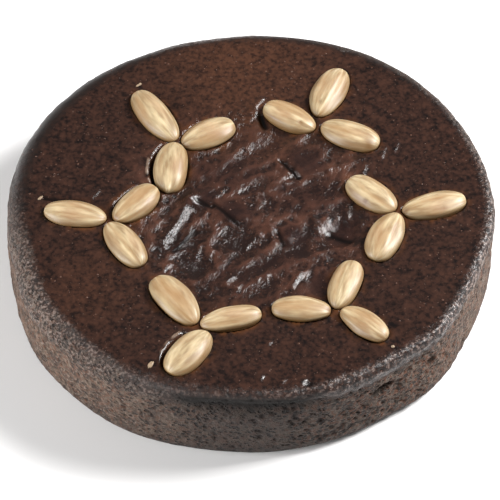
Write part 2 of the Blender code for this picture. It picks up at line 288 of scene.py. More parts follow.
# Marks of single almonds: place on the cake and radius in mm, how dark, and how deep in mm. They
# reach a little below the almond's middle
MARK_BELOW = 1.0 * MM
ALMOND_MARKS = {
    "almond_back_right_1": ((27.3, 47.7, 1.0, 0.5, 0.7),),
    "almond_back_right_2": ((20.3, 37.6, 0.8, 0.8, 0.4),),
    "almond_back_right_3": ((45.6, 27.2, 2.2, 0.8, 0.0),),
    "almond_right_1": ((43.6, -0.2, 0.9, 1.0, 0.1),),
    "almond_right_2": ((72.7, -3.8, 1.0, 0.5, 0.0), (58.2, -4.2, 1.2, 0.5, 0.3)),
    "almond_front_right_1": ((29.6, -50.2, 1.3, 0.8, 0.2),),
    "almond_front_right_3": ((48.6, -63.2, 2.0, 0.5, 0.0),),
    "almond_back_left_3": ((-29.6, 7.4, 1.1, 0.0, -0.9),),
    "almond_left_2": ((-49.0, -7.6, 1.6, 0.6, 0.0),),
}

# Pale crumbs and drops that lie on the glaze: x, y, length, width, height in mm, heading. Then
# how lumpy they are, how small their lumps, and how far they stand out of it
PALE_CRUMBS = (
    (-34.3, -73.8, 3.3, 1.6, 0.9, 62),
    (-41.5, 59.5, 2.6, 1.0, 0.5, 40),
    (51.8, -65.8, 1.3, 1.0, 0.7, 0),
    (-76.8, 3.4, 2.4, 1.1, 0.6, 50),
)
CRUMB_LUMP = 0.45
CRUMB_LUMP_SCALE = 1.7
CRUMB_RISE = 0.2

# Blisters of the glaze: how many a square metre, the largest's radius, the smallest's share of
# it, how rare large ones are, how high they rise, and how clear of an almond they stay
BLISTERS = 26000.0
BLISTER_RADIUS = 0.40 * MM
BLISTER_LEAST = 0.35
BLISTER_RARENESS = 2.5
BLISTER_RISE = 0.55
BLISTER_CLEAR = 1.2 * MM
BLISTER_SEED = 7

# The noises of the crust's material: name, width, detail and roughness
CRUST_NOISES = (
    ("blotches", 5 * MM, 4.0, 0.62),
    ("mottles", 1.5 * MM, 3.0, 0.5),
    ("patches", 5 * MM, 2.0, 0.5),
    ("grains", 1.1 * MM, 2.0, 0.6),
    ("ragged", 5 * MM, 5.0, 0.7),
    ("skin", 0.7 * MM, 4.0, 0.7),
    ("broad", 4 * MM, 4.0, 0.5),
    ("reds", 1.6 * MM, 3.0, 0.5),
    ("clusters", 6 * MM, 1.0, 0.5),
)

# Camera: its height above the horizon, its distance, what it looks at, and its lens
CAMERA_ELEVATION = 51
CAMERA_DISTANCE = 1101.6 * MM
CAMERA_TARGET_LEVEL = 18.36 * MM
CAMERA_ASIDE = 0.95 * MM
CAMERA_BELOW = 6.36 * MM
CAMERA_LENS = 211.74
CAMERA_CLIPS = (0.05, 20.0)
SENSOR_WIDTH = 36.0
FLOOR_REACH = 3.0

# Soft boxes: name, place, what each looks at, width, height, power. Then the pale air's strength
SOFT_LIGHTS = (
    ("key", (0.885, 0.27, 0.80), (0.0, 0.0, 0.03), 0.42, 0.42, 30.0),
    ("fill", (-0.95, -0.45, 0.42), (0.0, 0.0, 0.02), 0.7, 0.6, 18.0),
)
AIR_STRENGTH = 0.14

# Kinds of node that the trees below use most. A second word is the node's operation
MATH = "ShaderNodeMath"
TIMES = "ShaderNodeMath MULTIPLY"
TIMES_PLUS = "ShaderNodeMath MULTIPLY_ADD"
VECTOR = "ShaderNodeVectorMath"
RANGE = "ShaderNodeMapRange"
NOISE = "ShaderNodeTexNoise"
MIX = "ShaderNodeMix"
KEPT = "ShaderNodeAttribute"
SPLIT = "ShaderNodeSeparateXYZ"
JOIN = "ShaderNodeCombineXYZ"
BUMP = "ShaderNodeBump"


def linear(colour):
    """An sRGB hex colour as linear red, green, blue and alpha."""
    channels = []
    for i in (0, 2, 4):
        value = int(colour[i : i + 2], 16) / 255.0
        channels.append(value / 12.92 if value <= 0.04045 else ((value + 0.055) / 1.055) ** 2.4)
    return (*channels, 1.0)


def fade(value, low, high):
    """Goes smoothly from 0 at low to 1 at high."""
    t = np.clip((value - low) / (high - low), 0.0, 1.0)
    return t * t * (3.0 - 2.0 * t)


def noise_at(x, y, z, width, seed):
    """Perlin noise, from -1 to 1, at every point of three arrays."""
    places = np.stack((x, y, z), axis=1) / width + np.array(seed)
    return np.array([noise.noise(Vector(place)) for place in places])


def degrees_from(angle, heading):
    """Degrees between an angle and a heading, from -180 to 180."""
    return (np.degrees(angle) - heading + 180.0) % 360.0 - 180.0


def around(angle, heading, half_width, power=2):
    """Share of a place round the edge: 1 at its heading, almost nothing at twice its width."""
    return np.exp(-((degrees_from(angle, heading) / half_width) ** power))


def shoulder_radius(angle):
    """The rim is tight at the right and round at the left."""
    wideness = (1.0 - np.cos(angle - math.radians(TIGHT_HEADING))) / 2.0
    return SHOULDER_TIGHT + (SHOULDER_WIDE - SHOULDER_TIGHT) * wideness


def bulge(angle):
    """How far the edge stands out of a true circle, all the way up the side."""
    out = sum(depth * np.cos(waves * (angle - math.radians(crest))) for waves, depth, crest in LOBES)
    return out + sum(swell * MM * around(angle, heading, width) for heading, width, swell in EDGE_SWELLS)


def ridged(x, y, heading, stretch, width, seed):
    """Sharp-crested folds, longer along the heading than across it, from -1 to 1."""
    turn = math.radians(heading)
    along = x * math.cos(turn) + y * math.sin(turn)
    across = y * math.cos(turn) - x * math.sin(turn)
    return 1.0 - 2.0 * np.abs(noise_at(along / stretch, across, 0.0 * x, width, seed))


def bubble_share(x, y, row, wall):
    """Share of its height or depth that a bubble or a smooth place has at each point."""
    x0, y0, length, width, _, heading = row[:6]
    dx = x / MM - x0
    dy = y / MM - y0
    turn = math.radians(heading)
    along = (dx * math.cos(turn) + dy * math.sin(turn)) / (length / 2.0)
    across = (dy * math.cos(turn) - dx * math.sin(turn)) / (width / 2.0)
    return np.exp(-(np.hypot(along, across) ** wall))


def flakes(x, y):
    """Height of the bubbles that have set as flakes."""
    total = np.zeros_like(x)
    for row in FLAKES:
        x0, y0, _, width, height, _, edge_heading = row
        turn = math.radians(edge_heading)
        out = (x / MM - x0) * math.cos(turn) + (y / MM - y0) * math.sin(turn)
        rise = fade(out / width, *FLAKE_RISE)
        total += height * MM * bubble_share(x, y, row, FLAKE_WALL) * rise
    return total


def calm_share(x, y):
    """How far the smooth skin of a bubble or a quiet place covers each point."""
    calm = np.zeros_like(x)
    for row in HOLLOWS + FLAKES + QUIET_PLACES:
        most = row[4] if row in QUIET_PLACES else 1.0
        calm = np.maximum(calm, most * bubble_share(x, y, row, HOLLOW_WALL))
    return calm


def line_share(x, y, row):
    """Share of its height or depth that a crease or crevice has at each point."""
    x0, y0, x1, y1, width, _ = row
    dx = x / MM - x0
    dy = y / MM - y0
    run_x = x1 - x0
    run_y = y1 - y0
    t = np.clip((dx * run_x + dy * run_y) / (run_x * run_x + run_y * run_y), 0.0, 1.0)
    away = np.hypot(dx - run_x * t, dy - run_y * t)
    return np.exp(-((away / (width / 2.0)) ** 2))


def top_relief(x, y, folds):
    """Height of the top above or below its plain level, as in the part's source."""
    radius = np.hypot(x, y)
    sunk = SUNK_DEPTH * (1.0 - fade(radius, *SUNK_FADE))
    swell = SWELL_HEIGHT * noise_at(x, y, 0.0 * x, SWELL_WIDTH, SWELL_SEED)
    inside = 1.0 - fade(radius, *WRINKLE_FADE)
    wrinkles = WRINKLE_DEPTH * (folds - WRINKLE_MEAN) * inside
    burst = sum(row[4] * MM * bubble_share(x, y, row, HOLLOW_WALL) for row in HOLLOWS)
    return swell - sunk + wrinkles - burst + flakes(x, y)


def fine_relief(x, y, calm):
    """Creases and ripples that are too small for the source, and the ripples' crests."""
    height = GLAZE_HEIGHT * noise_at(x, y, 0.0 * x, GLAZE_WIDTH, GLAZE_SEED)
    for row in CREASES:
        height += row[5] * MM * line_share(x, y, row)
    for row in CREVICES:
        height -= row[5] * MM * line_share(x, y, row)
    middle = 1.0 - fade(np.hypot(x, y), *RIPPLE_FADE)
    weight = (RIPPLE_REST + (1.0 - RIPPLE_REST) * middle) * (1.0 - HOLLOW_CALM * calm)
    crests = []
    for index, (width, depth, stretch) in enumerate(RIPPLES, start=1):
        crest = ridged(x, y, WRINKLE_HEADING + RIPPLE_TURN * index, stretch, width, RIPPLE_SEED)
        height += depth * (crest - WRINKLE_MEAN) * weight
        crests.append(crest)
    return height, crests


def groove_share(angle, level):
    """How far each point lies in the groove under the front rim."""
    sideways = around(angle, GROOVE_HEADING, GROOVE_SPAN, BLUNT_POWER)
    return sideways * np.exp(-(((level - GROOVE_LEVEL) / GROOVE_WIDTH) ** 2))


def side_relief(angle, level):
    """How far the side stands in from its plain surface, and how open its pores are, 0 to 1."""
    x = np.cos(angle) * RADIUS
    y = np.sin(angle) * RADIUS
    bumps = SIDE_BUMP_DEPTH * noise_at(x, y, level, SIDE_BUMP_WIDTH, SIDE_SEED)
    coarse = 1.0 + around(angle, *COARSE)
    crumb = CRUMB_DEPTH * coarse * noise_at(x, y, level, CRUMB_WIDTH, CRUMB_SEED)
    places = np.stack((x, y, level * PORE_FLATNESS), axis=1) / PORE_SPACING + np.array(PORE_SEED)
    nearest = np.array([noise.voronoi(Vector(place))[0][0] for place in places])
    coarser, least, uneven = PORE_SIZES
    size = coarser * coarse + least + uneven * noise_at(x, y, level, 2.0 * PORE_SPACING, PORE_SEED)
    size = PORE_EDGE * np.maximum(size, 0.02)
    pore = 1.0 - fade(nearest, 0.3 * size, 2.0 * size)
    return GROOVE_DEPTH * groove_share(angle, level) + bumps + crumb, pore


def tear_depth(angle, level):
    """Depth of the torn places in the side."""
    depth = np.zeros_like(angle)
    for heading, middle, length, height, deep, slope in SIDE_TEARS:
        lean = math.radians(slope)
        aside = np.radians(degrees_from(angle, heading)) * RADIUS
        above = level - middle * MM
        along = (aside * math.cos(lean) + above * math.sin(lean)) / (length * MM / 2.0)
        across = (above * math.cos(lean) - aside * math.sin(lean)) / (height * MM / 2.0)
        left = 1.0 - along * along - across * across
        depth = np.maximum(depth, deep * MM * np.sqrt(np.clip(left, 0.0, 1.0)))
    return depth


def side_section():
    """The plain section from the edge of the level top down to the underside."""
    shoulder = SHOULDER_TIGHT
    rows = []
    for i in range(1, SHOULDER_ROWS + 1):
        turn = math.pi / 2.0 * i / SHOULDER_ROWS
        out = RADIUS - shoulder + shoulder * math.sin(turn)
        rows.append((out, HEIGHT - shoulder + shoulder * math.cos(turn)))
    for i in range(1, SIDE_ROWS):
        t = i / SIDE_ROWS
        rows.append((RADIUS + SIDE_SPREAD * t, (HEIGHT - shoulder) * (1.0 - t) + FOOT_RADIUS * t))
    flat = RADIUS + SIDE_SPREAD - FOOT_RADIUS
    for i in range(FOOT_ROWS + 1):
        turn = math.pi / 2.0 * i / FOOT_ROWS
        rows.append((flat + FOOT_RADIUS * math.cos(turn), FOOT_RADIUS - FOOT_RADIUS * math.sin(turn)))
    return rows


def plain_points():
    """Radius, level and angle of every point: the top's rings, the side's rows, the middle below."""
    reach = RADIUS - SHOULDER_TIGHT
    rows = [(0.0, HEIGHT, 1)]
    rows += [(reach * ring / TOP_RINGS, HEIGHT, SECTORS * ring) for ring in range(1, TOP_RINGS + 1)]
    rows += [(out, level, SECTORS * TOP_RINGS) for out, level in side_section()]
    rows.append((0.0, 0.0, 1))
    points = [(out, level, math.tau * i / count) for out, level, count in rows for i in range(count)]
    return np.array(points).T


def cake_faces():
    """Triangles of the top's rings, squares down the side, and a fan below."""
    faces = []
    for ring in range(1, TOP_RINGS + 1):
        inner = 1 + SECTORS * (ring - 1) * (ring - 2) // 2 if ring > 1 else 0
        outer = 1 + SECTORS * ring * (ring - 1) // 2
        inner_count = max(1, SECTORS * (ring - 1))
        for i in range(SECTORS * ring):
            sector, step = divmod(i, ring)
            near = inner + (i - sector) % inner_count
            after = outer + (i + 1) % (SECTORS * ring)
            faces.append((near, outer + i, after))
            if step < ring - 1:
                faces.append((near, after, inner + (i - sector + 1) % inner_count))
    count = SECTORS * TOP_RINGS
    first = 1 + count * (TOP_RINGS - 1) // 2
    rows = len(side_section())
    for row in range(rows):
        above = first + row * count
        below = above + count
        for i in range(count):
            j = (i + 1) % count
            faces.append((above + i, below + i, below + j, above + j))
    last = first + rows * count
    return faces + [(last + i, last + count, last + (i + 1) % count) for i in range(count)]


def widen_shoulder(radius, level, angle):
    """Moves the plain section so that the shoulder has its radius at each angle."""
    old = SHOULDER_TIGHT
    new = shoulder_radius(angle)
    inward = RADIUS - radius
    down = HEIGHT - level
    reach = HEIGHT - FOOT_RADIUS
    on_shoulder = (inward <= old + 1e-9) & (down <= old + 1e-9)
    on_top = ~on_shoulder & (down < old)
    on_side = ~on_shoulder & ~on_top & (down < reach)
    wide_radius = np.where(on_shoulder, RADIUS - inward * new / old, radius)
    wide_radius = np.where(on_top, radius * (RADIUS - new) / (RADIUS - old), wide_radius)
    wide_level = np.where(on_shoulder, HEIGHT - down * new / old, level)
    side_level = FOOT_RADIUS + (level - FOOT_RADIUS) * (reach - new) / (reach - old)
    return wide_radius, np.where(on_side, side_level, wide_level), angle


class AlmondPlace:
    """Where a packed almond lies, measured from its node: middle, axes and size."""

    def __init__(self, node):
        points = mesh_points(node.data)
        points -= (points.max(axis=0) + points.min(axis=0)) / 2.0
        spread, axes = np.linalg.eigh(np.cov(points.T))
        along = axes[:, 2]
        up = axes[:, 0] * np.sign(axes[2, 0])
        side = np.cross(up, along)
        local = points @ np.stack((along, side, up), axis=1)
        if np.sum(local[:, 0] * (local[:, 1] ** 2 + local[:, 2] ** 2)) < 0.0:
            along = -along
            side = -side
            local[:, :2] *= -1.0
        low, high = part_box(node.name)
        lows = local.min(axis=0)
        highs = local.max(axis=0)
        self.name = node.name
        self.length, self.width, self.thickness = highs - lows
        self.axes = np.stack((along, side, up), axis=1)
        self.middle = np.array((low + high) / 2.0) + self.axes @ ((highs + lows) / 2.0)
        self.slack = LOOSE_POCKETS.get(node.name, 0.0)

    def local_plan(self, x, y, shift=0.0):
        """How far along the almond and across it places are, seen from above."""
        along = self.axes[:2, 0] / np.linalg.norm(self.axes[:2, 0])
        dx = x - self.middle[0]
        dy = y - self.middle[1]
        forward = dx * along[0] + dy * along[1]
        sideways = dy * along[0] - dx * along[1]
        return forward, sideways - shift

    def left_sign(self):
        """1 or -1: which way across the almond is left in the picture."""
        return 1.0 if self.axes[1, 0] > 0.0 else -1.0

    def outside(self, x, y):
        """Distance outside the almond's outline from above, negative within it."""
        forward, sideways = self.local_plan(x, y)
        norm = np.hypot(forward / (self.length / 2.0), sideways / (self.width / 2.0))
        norm = np.maximum(norm, 1e-6)
        return np.hypot(forward, sideways) * (1.0 - 1.0 / norm)

    def underside(self, x, y):
        """Level of the underside, lowered by the gap, and far above where the almond isn't."""
        slack = self.slack / 2.0
        forward, sideways = self.local_plan(x, y, self.left_sign() * slack)
        run = np.clip(0.5 + forward / (self.length + 2.0 * CONTACT_GAP), 0.0, 1.0)
        girth = almond_girth(run)
        half_width = np.maximum(girth * (self.width / 2.0 + CONTACT_GAP + slack), 1e-9)
        half_thickness = girth * (self.thickness / 2.0 + CONTACT_GAP)
        share = 1.0 - (sideways / half_width) ** 2
        lean = self.axes[2, 0] / np.linalg.norm(self.axes[:2, 0])
        level = self.middle[2] + forward * lean - half_thickness * np.sqrt(np.clip(share, 0.0, 1.0))
        return np.where(share > 0.0, level, 1.0)


def almond_girth(run):
    """Share of the full girth at a run from an almond's tip, 0, to its round end, 1."""
    return run**TIP_SHARPNESS * (1.0 - run) ** END_ROUNDNESS / FULLEST


def glaze_by_almonds(x, y, almonds):
    """Height of the glaze drawn up at the almonds, and the shares of stain and lip there."""
    height, stain, lip = np.zeros((3, len(x)))
    for almond in almonds:
        outside = almond.outside(x, y)
        away = np.maximum(outside, 0.0)
        stain = np.maximum(stain, np.exp(-((away / STAIN_WIDTH) ** 2)))
        if almond.slack == 0.0:
            height += MENISCUS_HEIGHT * np.exp(-((away / MENISCUS_WIDTH) ** 2))
            continue
        forward, sideways = almond.local_plan(x, y)
        reach = 1.0 - fade(np.abs(forward) / (almond.length / 2.0), *LIP_REACH)
        ridge = np.exp(-(((outside - LIP_OUT) / (LIP_WIDTH / 2.0)) ** 2)) * reach
        lip = np.maximum(lip, ridge * (sideways * almond.left_sign() > 0.0))
    uneven = fade(noise_at(x, y, height, LIP_UNEVENNESS, RIM_SEED), -0.25, 0.25)
    lip *= LIP_LEAST + (1.0 - LIP_LEAST) * uneven
    return height + LIP_HEIGHT * lip, stain, lip


def attach(mesh, name, values):
    """Keeps one number a point on the mesh, for the material to read."""
    attribute = mesh.attributes.new(name, "FLOAT", "POINT")
    attribute.data.foreach_set("value", np.asarray(values, dtype=np.float32))


def make_cake(almonds):
    """The cake's one piece, with what its material reads kept at each point."""
    radius, level, angle = widen_shoulder(*plain_points())
    shoulder = shoulder_radius(angle)
    down = HEIGHT - level
    sideways = fade(down, 0.0, SIDE_BEGINS * shoulder) * fade(level, 0.0, FOOT_RADIUS)
    upness = 1.0 - fade(down, 0.0, shoulder)
    rim = fade(radius - RADIUS + RIM_FULL * shoulder, -RIM_REACH, 0.0)
    rim = rim * (1.0 - fade(down, shoulder, shoulder + RIM_BELOW))
    calmer = np.max([share * around(angle, heading, width) for heading, width, share in RIM_CALMS], axis=0)
    calmer = calmer * rim
    rim = rim - calmer
    plain = (radius * np.cos(angle), radius * np.sin(angle), level)
    broken = RIM_DEPTH * noise_at(*plain, RIM_WIDTH, RIM_SEED) * rim

    uneven, pore = side_relief(angle, level)
    pore = pore * sideways
    torn = tear_depth(angle, level)
    inward = (uneven + PORE_DEPTH * pore) * sideways + torn
    out = radius + bulge(angle) * fade(radius, 0.0, RADIUS) - inward
    x = out * np.cos(angle)
    y = out * np.sin(angle)

    calm = calm_share(x, y)
    folds = ridged(x, y, WRINKLE_HEADING, WRINKLE_STRETCH, WRINKLE_WIDTH, WRINKLE_SEED)
    fine, crests = fine_relief(x, y, calm)
    drawn, stain, lip = glaze_by_almonds(x, y, almonds)
    height = level + (top_relief(x, y, folds) + fine + drawn + broken) * upness
    for almond in almonds:
        near = (upness > 0.5) & (almond.outside(x, y) < CONTACT_REACH)
        pressed = np.minimum(height, almond.underside(x, y))
        height = np.where(near, pressed, height)

    mesh = bpy.data.meshes.new("honey_cake")
    mesh.from_pydata(list(zip(x, y, height)), [], cake_faces())
    mesh.shade_smooth()
    past = (radius - RADIUS + shoulder) / shoulder
    below = np.maximum(down - shoulder, 0.0) / shoulder
    run = np.zeros_like(angle)
    for heading, half_width, more in GLAZE_RUNS:
        run += more * around(angle, heading, half_width, BLUNT_POWER)
    crevice = np.max([line_share(x, y, row) for row in CREVICES], axis=0)
    # Patches of painted sheen on the top
    sheen_patch = np.zeros_like(angle)
    for x0, y0, reach, share in SHEEN_PATCHES:
        away = np.hypot(x - x0 * MM, y - y0 * MM) / (reach * MM)
        sheen_patch = np.maximum(sheen_patch, share * np.exp(-(away**2)))
    # The material paints shade and highlight from several of these shares, as noted where it reads them
    shares = {
        "glaze": 1.0 - fade(past + below - run, *GLAZE_FADE),
        "middle": 1.0 - fade(np.hypot(x, y), *RIPPLE_FADE),
        "crest": sum(share * crest for share, crest in zip(CREST_SHARES, [folds, *crests])),
        "hollow": calm,
        "crevice": crevice * upness,
        "stain": stain * upness,
        "lip": lip,
        "sheen_patch": sheen_patch,
        "rim": rim,
        "calmer": calmer,
        # The groove's band of painted shade
        "groove": groove_share(angle, level - GROOVE_SHADE_UP) * sideways,
        "pore": np.clip(pore + torn / MM, 0.0, 1.0),
        "level": level / HEIGHT,
        # Where the side gets painted shade, most at the front
        "front_shade": around(angle, *FRONT_SHADE),
        "coarse": around(angle, *COARSE),
    }
    for name, values in shares.items():
        attach(mesh, name, values)
    return link_piece("honey_cake_body", mesh)


def link_piece(name, data):
    """Puts a mesh, a camera or a light into the scene, at the origin."""
    piece = bpy.data.objects.new(name, data)
    bpy.context.scene.collection.objects.link(piece)
    return piece


def add_node(tree, kind, *inputs, out=0, **settings):
    """Adds a node with its settings and what feeds it, and returns one of its outputs."""
    kind, _, operation = kind.partition(" ")
    if operation:
        settings["operation"] = operation
    node = tree.nodes.new(kind)
    for name, value in settings.items():
        setattr(node, name, value)
    feeds = inputs[0] if inputs and isinstance(inputs[0], dict) else dict(enumerate(inputs))
    for name, value in feeds.items():
        if isinstance(value, bpy.types.NodeSocket):
            tree.links.new(value, node.inputs[name])
        else:
            node.inputs[name].default_value = value
    return node.outputs[out] if node.outputs else node


def new_tree(name, inputs):
    """A new geometry tree, what adds a node to it, and the sockets of its named inputs."""
    tree = bpy.data.node_groups.new(name, "GeometryNodeTree")
    tree.interface.new_socket(name="Made", in_out="OUTPUT", socket_type="NodeSocketGeometry")
    for label, kind in inputs.items():
        tree.interface.new_socket(name=label, in_out="INPUT", socket_type="NodeSocket" + kind)
    add = partial(add_node, tree)
    return tree, add, add("NodeGroupInput").node.outputs


def close_tree(add, shape, material):
    """Makes what a tree has grown real and smooth, and gives it its material."""
    real = add("GeometryNodeRealizeInstances", {"Geometry": shape})
    smooth = add("GeometryNodeSetShadeSmooth", {"Geometry": real})
    painted = add("GeometryNodeSetMaterial", {"Geometry": smooth, "Material": material})
    add("NodeGroupOutput", painted)


def almond_tree(material):
    """Geometry nodes that shape one blanched almond from its named sizes."""
    sizes = ("Length", "Width", "Thickness", "Groove depth", "Bend", "Seed")
    tree, add, given = new_tree("blanched_almond_shape", dict.fromkeys(sizes, "Float"))
    finely = {"Segments": ALMOND_SEGMENTS, "Rings": ALMOND_RINGS, "Radius": 1.0}
    ball = add("GeometryNodeMeshUVSphere", finely)
    place = add("GeometryNodeInputPosition")
    forward = add(SPLIT, place, out="Z")
    flat = add(VECTOR, place, (1.0, 1.0, 0.0), operation="MULTIPLY")
    outward = add(VECTOR, flat, operation="NORMALIZE")

    run = add(TIMES_PLUS, forward, 0.5, 0.5, use_clamp=True)
    rest = add(MATH, 1.0, run, operation="SUBTRACT")
    tip = add(MATH, run, TIP_SHARPNESS, operation="POWER")
    end = add(MATH, rest, END_ROUNDNESS, operation="POWER")
    ends = add(TIMES, tip, end)
    half_girth = add(MATH, ends, 2.0 * FULLEST, operation="DIVIDE")

    aside = add(TIMES, given["Seed"], 1.7)
    seed = add(JOIN, given["Seed"], 3.7, aside)
    lengthwise = add(TIMES, forward, 0.30)
    stretched = add(JOIN, 0.0, 0.0, lengthwise)
    rounds = add(VECTOR, outward, (ALMOND_GROOVES,) * 3, stretched, operation="MULTIPLY_ADD")
    streak_place = add(VECTOR, rounds, seed, operation="ADD")
    streaks = add(NOISE, {"Vector": streak_place, "Scale": 1.0, "Detail": 1.0})
    lump_place = add(VECTOR, place, seed, operation="ADD")
    lumps = add(NOISE, {"Vector": lump_place, "Scale": 1.1, "Detail": 0.0})
    streak = add(MATH, streaks, 0.5, operation="SUBTRACT")
    lump = add(TIMES_PLUS, lumps, ALMOND_LUMPS, -0.5 * ALMOND_LUMPS)
    sunk = add(TIMES_PLUS, given["Groove depth"], streak, lump)
    full = add(MATH, 1.0, sunk, operation="SUBTRACT")
    half_reach = add(TIMES, half_girth, full)

    across = add(SPLIT, outward).node.outputs
    half_width = add(TIMES, half_reach, given["Width"])
    half_thickness = add(TIMES, half_reach, given["Thickness"])
    both = add(TIMES, run, rest)
    bow = add(TIMES, both, given["Bend"])
    half_forward = add(TIMES, forward, 0.5)
    shaped_x = add(TIMES, half_forward, given["Length"])
    shaped_y = add(TIMES_PLUS, across["X"], half_width, bow)
    shaped_z = add(TIMES, across["Y"], half_thickness)
    shaped = add(JOIN, shaped_x, shaped_y, shaped_z)

    almond = ball
    skin = add(JOIN, run, across["X"], across["Y"])
    for name, value, kind in (
        ("skin", skin, "FLOAT_VECTOR"),
        ("grooves", streaks, "FLOAT"),
        ("seed", given["Seed"], "FLOAT"),
    ):
        kept = {"Geometry": almond, "Name": name, "Value": value}
        almond = add("GeometryNodeStoreNamedAttribute", kept, data_type=kind)
    moved = add("GeometryNodeSetPosition", {"Geometry": almond, "Position": shaped})
    close_tree(add, moved, material)
    return tree


def grown_mesh(tree, values, name, base=None):
    """The plain mesh that a geometry tree makes with its named inputs set."""
    carrier = link_piece(name + "_carrier", base or bpy.data.meshes.new(name + "_carrier"))
    grow = carrier.modifiers.new("grow", "NODES")
    grow.node_group = tree
    for socket in tree.interface.items_tree:
        if socket.in_out == "INPUT" and socket.name in values:
            grow[socket.identifier] = values[socket.name]
    bpy.context.view_layer.update()
    graph = bpy.context.evaluated_depsgraph_get()
    mesh = bpy.data.meshes.new_from_object(carrier.evaluated_get(graph))
    mesh.name = name
    bpy.data.objects.remove(carrier)
    return mesh


def mesh_points(mesh):
    """The places of a mesh's points, one row each."""
    points = np.empty(len(mesh.vertices) * 3)
    mesh.vertices.foreach_get("co", points)
    return points.reshape(-1, 3)


def mark_almond(mesh, place):
    """Gives an almond its own stains, and the nicks or the nub that go with them."""
    points = mesh_points(mesh)
    dark = np.zeros(len(points))
    for x, y, radius, darkness, depth in ALMOND_MARKS.get(place.name, ()):
        away = np.hypot(points[:, 0] - x * MM, points[:, 1] - y * MM)
        above = points[:, 2] > place.middle[2] - MARK_BELOW
        share = np.exp(-((away / (radius * MM)) ** 2)) * above
        dark = np.maximum(dark, darkness * share)
        inward = np.array((x * MM, y * MM, place.middle[2])) - place.middle
        inward = -inward / np.linalg.norm(inward) + np.array((0.0, 0.0, -0.5))
        points += np.outer(share * depth * MM, inward)
    mesh.vertices.foreach_set("co", points.ravel())
    attach(mesh, "mark", dark)


def make_almond(place, index, tree):
    """One almond, grown to its node's size and laid where its node lies."""
    values = {
        "Length": float(place.length),
        "Width": float(place.width),
        "Thickness": float(place.thickness),
        "Groove depth": DEEP_GROOVES.get(place.name, GROOVE_SHARE),
        "Bend": ALMOND_BEND * math.sin(index * 1.7),
        "Seed": float(index),
    }
    mesh = grown_mesh(tree, values, place.name.replace("almond", "blanched_almond"))
    turn = Matrix(place.axes.tolist()).to_4x4()
    mesh.transform(Matrix.Translation(Vector(place.middle)) @ turn)
    mark_almond(mesh, place)
    return link_piece(mesh.name, mesh)


def blister_tree(material):
    """Geometry nodes that scatter low blisters, more of them where the glaze is thick."""
    sizes = {"Cake": "Geometry", "How many": "Float", "Largest radius": "Float"}
    tree, add, given = new_tree("glaze_blisters_scatter", sizes)
    cover = add("GeometryNodeInputNamedAttribute", {"Name": "cover"})
    density = add(TIMES, cover, given["How many"])
    scattered = {"Mesh": given["Cake"], "Density": density, "Seed": BLISTER_SEED}
    spots = add("GeometryNodeDistributePointsOnFaces", scattered).node.outputs
    draw = add("FunctionNodeRandomValue", {"Seed": BLISTER_SEED}, out=1)
    small = add(MATH, draw, BLISTER_RARENESS, operation="POWER")
    share = add(TIMES_PLUS, small, 1.0 - BLISTER_LEAST, BLISTER_LEAST)
    radius = add(TIMES, share, given["Largest radius"])
    ball = add("GeometryNodeMeshIcoSphere", {"Radius": 1.0, "Subdivisions": 2})
    dome = add("GeometryNodeTransform", {"Geometry": ball, "Scale": (1.0, 1.0, BLISTER_RISE)})
    placing = {"Points": spots["Points"], "Instance": dome, "Rotation": spots["Rotation"], "Scale": radius}
    close_tree(add, add("GeometryNodeInstanceOnPoints", placing), material)
    return tree


def make_material(looks_of, *given):
    """A material with the name of the function that works out its looks."""
    material = bpy.data.materials.new(looks_of.__name__)
    material.use_nodes = True
    material.node_tree.nodes.clear()
    add = partial(add_node, material.node_tree)
    add("ShaderNodeOutputMaterial", add("ShaderNodeBsdfPrincipled", looks_of(add, *given)))
    return material


def glaze_colour(add, kept, noises):
    """Red-brown glaze, with painted shade where it lies deep and a redder painted highlight on its crests.
    """
    blotches = add(MIX, {0: 0.55, 2: noises["blotches"], 3: noises["mottles"]})
    tone = add(RANGE, blotches, 0.37, 0.63)
    # Painted highlight on the crests of the middle, painted shade in its troughs
    high = add(RANGE, kept["crest"], 0.50, 0.95, 0.0, 0.75)
    high = add(TIMES, high, kept["middle"])
    low = add(RANGE, kept["crest"], 0.50, 0.15)
    low = add(TIMES, low, kept["middle"])
    # Patches of painted sheen, mottled
    patches = add(RANGE, noises["mottles"], 0.38, 0.62, 0.45, 1.35)
    sheen_patch = add(TIMES, kept["sheen_patch"], patches)
    # Pale specks of painted glint
    glint_specks = add(RANGE, noises["grains"], 0.68, 0.80)
    # Painted shade over the smooth hollows, flakes and quiet places
    smooth = add(TIMES, kept["hollow"], 0.75)
    patchy = add(RANGE, noises["patches"], 0.42, 0.62, 0.0, 0.55)
    stain = add(TIMES, kept["stain"], patchy)
    # Painted highlight on the lip of glaze beside a loose almond
    lip = add(RANGE, kept["lip"], 0.35, 0.95, 0.0, 0.8)
    colour = linear("140e0d")
    # The last layer, in the crevices, is painted shade
    for share, shade in (
        (tone, "3b261e"), (high, "5b3b2f"), (low, "201512"), (sheen_patch, "573726"), (glint_specks, "705a4e"),
        (smooth, "241715"), (stain, "633a1a"), (lip, "8a7565"), (kept["crevice"], "0c0706"),
    ):
        colour = add(MIX, {0: share, 6: colour, 7: linear(shade)}, out=2, data_type="RGBA")
    return colour


